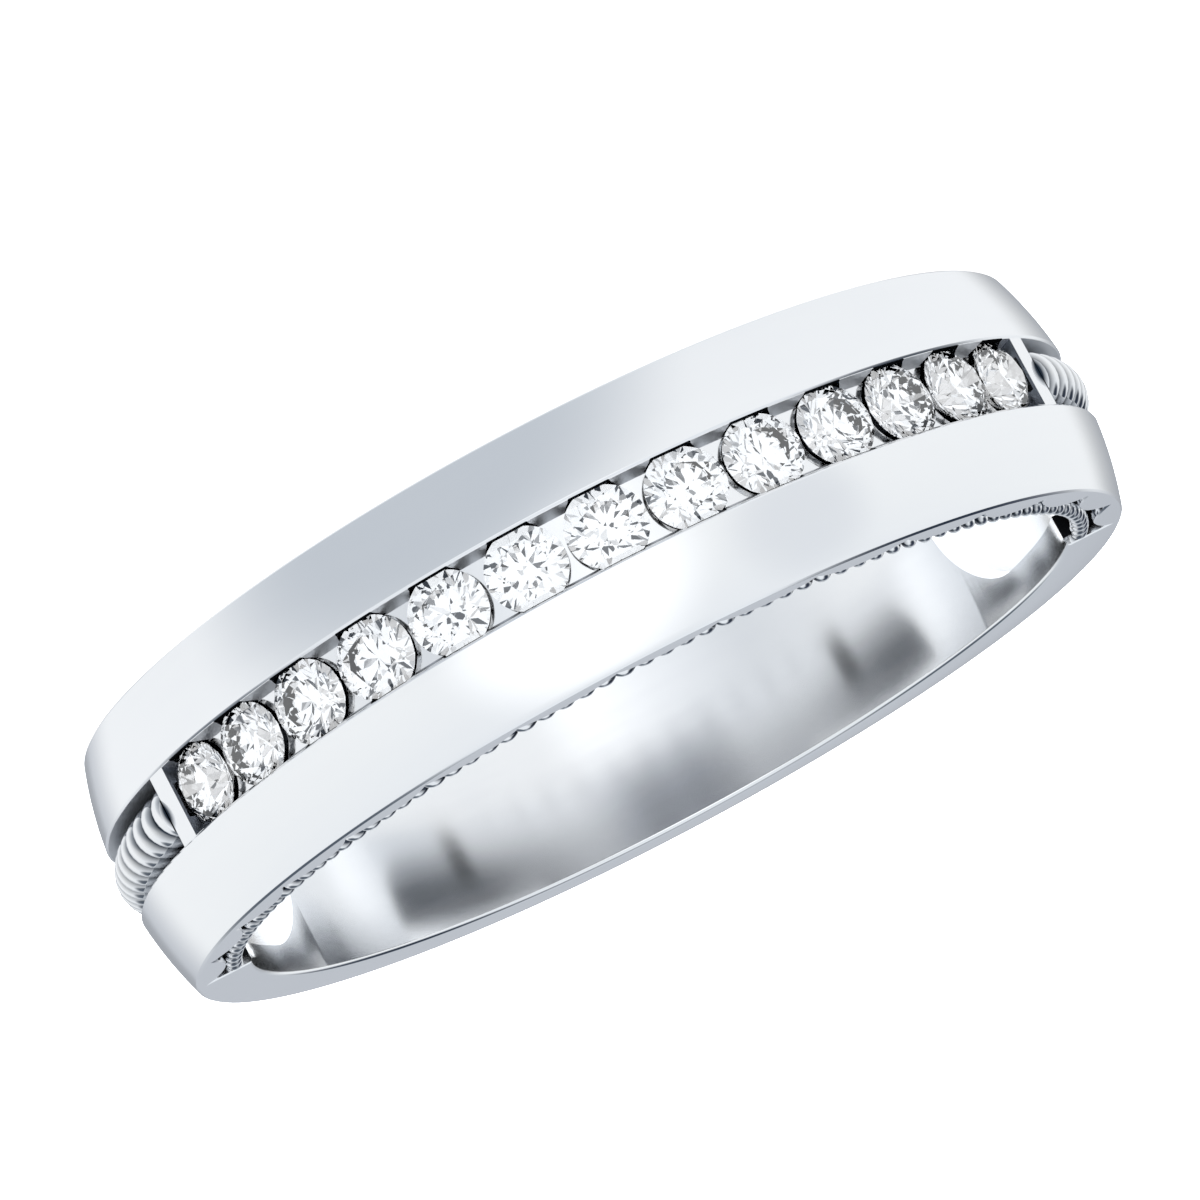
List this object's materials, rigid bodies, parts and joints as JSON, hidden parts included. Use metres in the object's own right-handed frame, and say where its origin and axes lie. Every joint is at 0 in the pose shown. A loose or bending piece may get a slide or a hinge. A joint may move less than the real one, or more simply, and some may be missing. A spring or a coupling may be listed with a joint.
{
  "type": "band ring",
  "caption": "Channel set band ring with domed rails, round stones over the head, a wound wire inlay round the back and pierced scalloped galleries edged with fine rope.",
  "frame": {"origin": "on the ring's axis, in the plane of the side face that it lies on", "axes": "+Z along the ring's axis, up from the side face that it lies on; -Y towards the middle of the head with the stones; +X to the right as seen from the head"},
  "size_m": [0.0236, 0.0234, 0.0054],
  "materials": {
    "polished_metal": "polished white gold, mirror bright",
    "wire_metal": "white gold wire, bright on its crowns and dark in its grooves",
    "stone_glass": "clear colourless round brilliant"
  },
  "bodies": {
    "root": {"band": "polished_metal", "channel_coil": "wire_metal", "gallery_rope_front": "wire_metal", "gallery_rope_back": "wire_metal", "stone_01": "stone_glass", "stone_02": "stone_glass", "stone_03": "stone_glass", "stone_04": "stone_glass", "stone_05": "stone_glass", "stone_06": "stone_glass", "stone_07": "stone_glass", "stone_08": "stone_glass", "stone_09": "stone_glass", "stone_10": "stone_glass", "stone_11": "stone_glass", "stone_12": "stone_glass", "stone_13": "stone_glass"}
  },
  "joints": []
}
